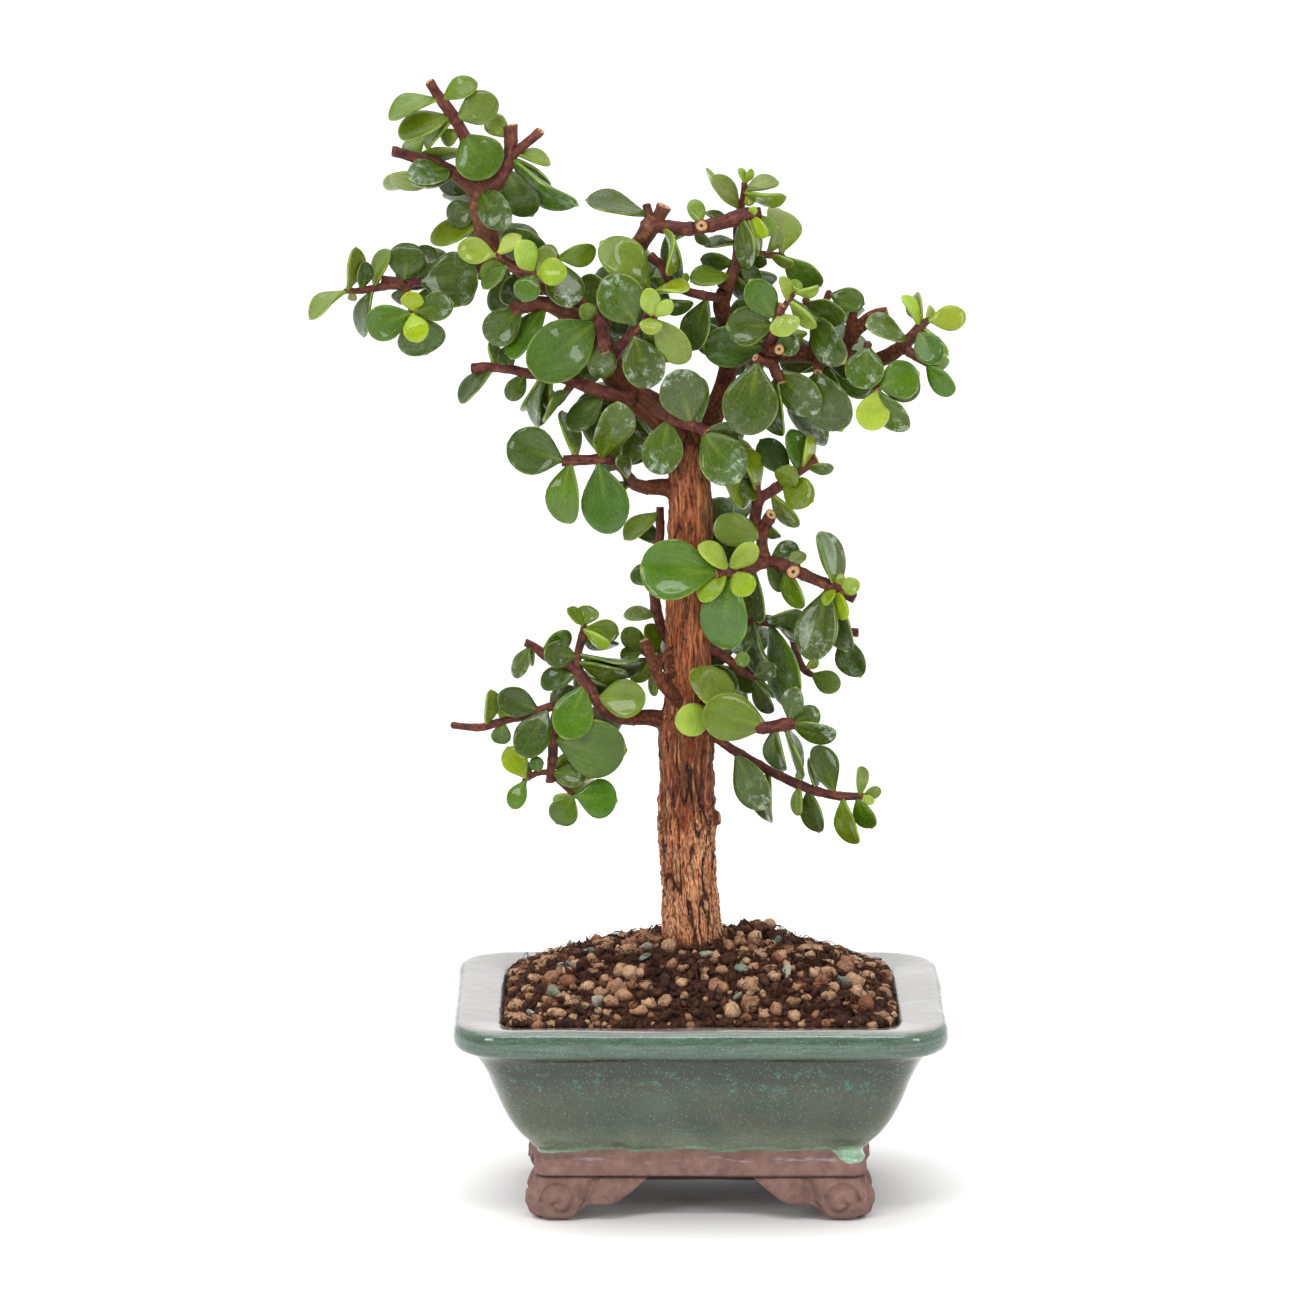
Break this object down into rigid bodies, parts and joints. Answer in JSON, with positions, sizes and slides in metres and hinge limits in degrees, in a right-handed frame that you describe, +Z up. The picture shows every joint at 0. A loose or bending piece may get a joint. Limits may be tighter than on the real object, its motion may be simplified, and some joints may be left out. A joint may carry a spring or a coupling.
{
  "type": "dwarf jade bonsai in a pot",
  "caption": "Small indoor bonsai: a fissured trunk with succulent leafy stems, planted in gritty soil in a rectangular glazed pot that stands on scroll feet.",
  "frame": {"origin": "centre of the part's outline at floor level, under the feet; the pot's own centre is 18.6 mm to +X of it", "axes": "+Z up along the trunk, -Y out of the pot's long front, +X to the right seen from the front"},
  "size_m": [0.1954, 0.112, 0.3406],
  "materials": {
    "glaze": "glossy celadon glaze over bare clay feet",
    "soil": "rough",
    "mesh": "matt black",
    "wire": "satin",
    "bark": "rough, fissured",
    "leaf": "glossy, waxy leaves on dark red twigs"
  },
  "bodies": {
    "root": {"pot": "glaze", "soil": "soil", "drain_mesh": "mesh", "mesh_wire": "wire", "trunk": "bark", "stem_crown_left": "leaf", "stem_left_arm": "leaf", "stem_left_young": "leaf", "stem_left_back": "leaf", "stem_left_stub": "leaf", "stem_left_hanging": "leaf", "stem_left_outer": "leaf", "stem_mid_left": "leaf", "stem_fork": "leaf", "stem_centre": "leaf", "stem_top": "leaf", "stem_crown_right": "leaf", "stem_top_inner": "leaf", "stem_right_inner": "leaf", "stem_right_low": "leaf", "stem_right_under": "leaf", "stem_right_mid": "leaf", "stem_right_out": "leaf", "stem_right_end": "leaf", "stem_mid_right": "leaf", "stem_mid_right_back": "leaf", "stem_low_right_inner": "leaf", "stem_low_right_front": "leaf", "stem_low_right_arm": "leaf", "stem_low_left": "leaf", "stem_side": "leaf", "stem_low_left_inner": "leaf", "stem_rear_crown": "leaf", "stem_rear_left": "leaf", "stem_rear_arm": "leaf", "stem_rear_upper": "leaf", "stem_rear_centre": "leaf", "stem_rear_right": "leaf", "stem_rear_outer": "leaf", "stem_rear_fork": "leaf", "stem_rear_middle": "leaf", "stem_rear_low_right": "leaf", "stem_rear_low_left": "leaf"}
  },
  "joints": []
}
